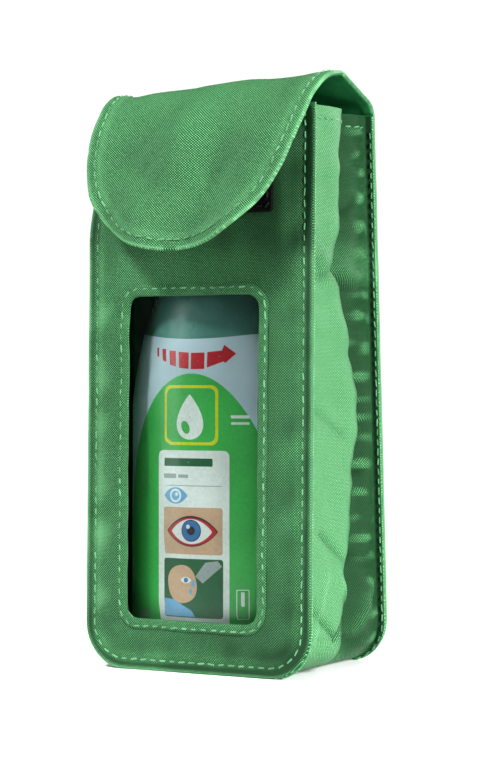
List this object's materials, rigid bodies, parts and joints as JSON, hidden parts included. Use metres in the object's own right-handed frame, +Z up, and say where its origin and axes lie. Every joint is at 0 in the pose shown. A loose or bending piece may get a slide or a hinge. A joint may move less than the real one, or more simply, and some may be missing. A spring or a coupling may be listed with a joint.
{
  "type": "eyewash bottle in belt pouch",
  "caption": "Portable eyewash bottle with an eye cup under a twist-off dust cap, in a sewn nylon belt pouch with a flap and a clear front window.",
  "frame": {"origin": "middle of the pouch's base, on the surface it stands on", "axes": "+Z up along the pouch, +X across its width, -Y out of the window"},
  "size_m": [0.086, 0.0762, 0.2017],
  "materials": {
    "nylon": "coated oxford weave, slight sheen",
    "webbing": "ribbed woven webbing",
    "thread": "twisted polyester thread",
    "hook_loop": "black hook and loop",
    "clear_film": "clear soft film, glossy",
    "bottle_film": "smoky translucent plastic",
    "solution": "clear liquid",
    "label_green": "printed film",
    "label_white": "printed film",
    "white_plastic": "moulded, satin",
    "foil": "embossed foil",
    "cup_plastic": "milky translucent plastic",
    "cap_plastic": "moulded, fine satin"
  },
  "bodies": {
    "pouch": {"front_panel": "nylon", "window_pane": "clear_film", "window_binding": "nylon", "side_gusset": "nylon", "back_panel": "nylon", "belt_loop": "webbing", "loop_patch": "hook_loop", "front_seam_thread": "thread", "window_seam_thread": "thread", "back_seam_thread": "thread", "mouth_hem_thread": "thread", "belt_loop_thread": "thread", "loop_patch_thread": "thread"},
    "flap_rear": {"flap_rear_panel": "nylon", "flap_rear_thread": "thread"},
    "flap_top": {"flap_top_panel": "nylon", "flap_top_thread": "thread"},
    "flap_tip": {"flap_tip_panel": "nylon", "flap_tip_thread": "thread", "hook_patch": "hook_loop", "hook_patch_thread": "thread"},
    "bottle": {"bottle_shell": "bottle_film", "eyewash_solution": "solution", "front_label": "label_green", "back_label": "label_white", "flow_insert": "white_plastic", "seal_disc": "foil", "eye_cup": "cup_plastic", "tamper_ring": "cap_plastic"},
    "cap": {"dust_cap": "cap_plastic"}
  },
  "joints": [
    {"name": "flap_lift", "type": "hinge", "parent": "pouch", "child": "flap_rear", "pos_m": [0, 0.0187, 0.1929], "axis": [-1, 0, 0], "range_deg": [0, 200]},
    {"name": "flap_crease", "type": "hinge", "parent": "flap_rear", "child": "flap_top", "pos_m": [0, -0.0048, 0.2009], "axis": [-1, 0, 0], "range_deg": [0, 60]},
    {"name": "flap_tip_bend", "type": "hinge", "parent": "flap_top", "child": "flap_tip", "pos_m": [0, -0.03486, 0.17656], "axis": [-1, 0, 0], "range_deg": [0, 60]},
    {"name": "bottle_slide", "type": "slide", "parent": "pouch", "child": "bottle", "axis": [0, 0, 1], "range_m": [0, 0.015]},
    {"name": "cap_twist", "type": "hinge", "parent": "bottle", "child": "cap", "pos_m": [-0.0038, -0.00556, 0.1644], "axis": [0, 0, 1], "range_deg": [0, 90]}
  ]
}
